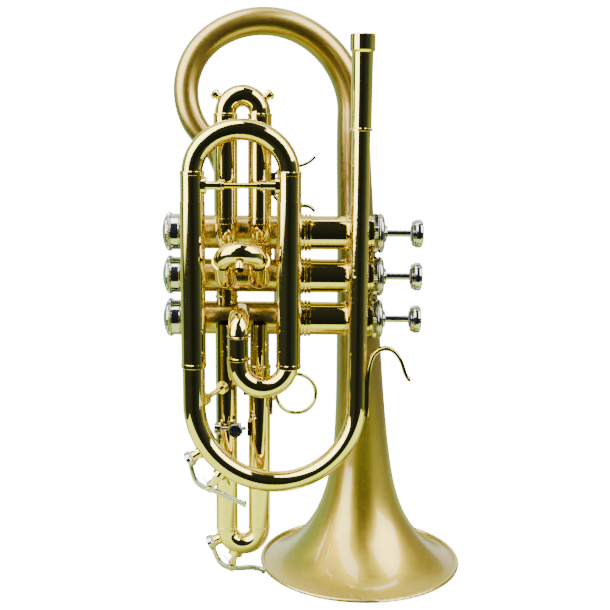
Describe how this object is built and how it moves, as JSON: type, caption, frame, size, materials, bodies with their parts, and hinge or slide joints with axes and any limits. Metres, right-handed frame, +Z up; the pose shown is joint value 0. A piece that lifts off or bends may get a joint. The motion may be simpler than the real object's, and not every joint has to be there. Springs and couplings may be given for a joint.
{
  "type": "cornet",
  "caption": "Long-model cornet with shepherd's-crook bell, piston valves, finger ring, thumb saddle, pinky hook, water keys and sliding crooks, standing on its bell rim.",
  "frame": {"origin": "centre of the bell rim, in the plane of the rim", "axes": "+Z up the bell axis from the rim to the crook, +X towards the finger buttons, -Y towards the leadpipe and main tuning slide"},
  "size_m": [0.1733, 0.1285, 0.3238],
  "materials": {
    "lacquered_brass": "mirror polished yellow brass under clear lacquer",
    "satin_brass": "satin brushed brass under clear lacquer",
    "nickel_plate": "bright nickel plate",
    "piston_metal": "lapped nickel alloy",
    "spring_steel": "bright drawn wire",
    "cork": "natural cork"
  },
  "bodies": {
    "horn": {"bell": "satin_brass", "bell_brace_lower": "lacquered_brass", "bell_brace_upper": "lacquered_brass", "bell_crook": "satin_brass", "bottom_cap_1": "nickel_plate", "bottom_cap_2": "nickel_plate", "bottom_cap_3": "nickel_plate", "crossover_1_2": "lacquered_brass", "crossover_2_3": "lacquered_brass", "entry_knuckle": "lacquered_brass", "first_slide_ports": "lacquered_brass", "leadpipe": "lacquered_brass", "loop_brace": "lacquered_brass", "main_bow": "lacquered_brass", "main_outer_tube_left": "lacquered_brass", "main_outer_tube_right": "lacquered_brass", "mouthpiece_receiver": "lacquered_brass", "pinky_hook": "lacquered_brass", "second_slide_ports": "lacquered_brass", "small_bow": "lacquered_brass", "third_slide_port_left": "lacquered_brass", "third_slide_port_right": "lacquered_brass", "third_slide_stop": "nickel_plate", "top_cap_1": "nickel_plate", "top_cap_2": "nickel_plate", "top_cap_3": "nickel_plate", "valve_brace": "lacquered_brass", "valve_casing_1": "lacquered_brass", "valve_casing_2": "lacquered_brass", "valve_casing_3": "lacquered_brass", "valve_spring_1": "spring_steel", "valve_spring_2": "spring_steel", "valve_spring_3": "spring_steel", "water_key_main_saddle": "lacquered_brass"},
    "tuning_slide": {"tuning_slide": "lacquered_brass", "tuning_slide_brace": "lacquered_brass"},
    "first_slide": {"first_slide_bow": "lacquered_brass", "first_slide_legs": "lacquered_brass", "thumb_saddle": "lacquered_brass"},
    "second_slide": {"second_slide_bow": "lacquered_brass"},
    "third_slide": {"third_slide_bow": "lacquered_brass", "third_slide_legs": "lacquered_brass", "finger_ring": "lacquered_brass", "water_key_third_saddle": "lacquered_brass"},
    "water_key_main": {"water_key_main_lever": "nickel_plate", "water_key_main_cork": "cork"},
    "water_key_third": {"water_key_third_lever": "nickel_plate", "water_key_third_cork": "cork"},
    "thumb_screw": {"third_slide_thumb_screw": "nickel_plate"},
    "valve_1": {"piston_1": "piston_metal", "valve_stem_1": "nickel_plate", "finger_button_1": "nickel_plate"},
    "valve_2": {"piston_2": "piston_metal", "valve_stem_2": "nickel_plate", "finger_button_2": "nickel_plate"},
    "valve_3": {"piston_3": "piston_metal", "valve_stem_3": "nickel_plate", "finger_button_3": "nickel_plate"}
  },
  "joints": [
    {"name": "valve_1_press", "type": "slide", "parent": "horn", "child": "valve_1", "axis": [-1, 0, 0], "range_m": [0, 0.013], "stiffness_N_per_m": 150, "springref_m": -0.006, "deforming": ["valve_spring_1"]},
    {"name": "valve_2_press", "type": "slide", "parent": "horn", "child": "valve_2", "axis": [-1, 0, 0], "range_m": [0, 0.013], "stiffness_N_per_m": 150, "springref_m": -0.006, "deforming": ["valve_spring_2"]},
    {"name": "valve_3_press", "type": "slide", "parent": "horn", "child": "valve_3", "axis": [-1, 0, 0], "range_m": [0, 0.013], "stiffness_N_per_m": 150, "springref_m": -0.006, "deforming": ["valve_spring_3"]},
    {"name": "tuning_slide_pull", "type": "slide", "parent": "horn", "child": "tuning_slide", "axis": [0, 0, 1], "range_m": [0, 0.03]},
    {"name": "first_slide_pull", "type": "slide", "parent": "horn", "child": "first_slide", "axis": [0, 0, 1], "range_m": [0, 0.02]},
    {"name": "second_slide_pull", "type": "slide", "parent": "horn", "child": "second_slide", "axis": [0, -0.788, 0.6157], "range_m": [0, 0.01]},
    {"name": "third_slide_pull", "type": "slide", "parent": "horn", "child": "third_slide", "axis": [0, 0, -1], "range_m": [0, 0.018]},
    {"name": "water_key_main_rock", "type": "hinge", "parent": "horn", "child": "water_key_main", "pos_m": [-0.0854, -0.0515, 0.064], "axis": [0, -1, 0], "range_deg": [0, 15], "stiffness_Nm_per_rad": 0.05, "springref_deg": -20.05},
    {"name": "water_key_third_rock", "type": "hinge", "parent": "third_slide", "child": "water_key_third", "pos_m": [-0.0752, -0.031, 0.0092], "axis": [0, -1, 0], "range_deg": [0, 15], "stiffness_Nm_per_rad": 0.05, "springref_deg": -20.05},
    {"name": "thumb_screw_turn", "type": "hinge", "parent": "horn", "child": "thumb_screw", "pos_m": [-0.072, -0.0396, 0.0935], "axis": [0, 1, 0], "continuous": true}
  ]
}
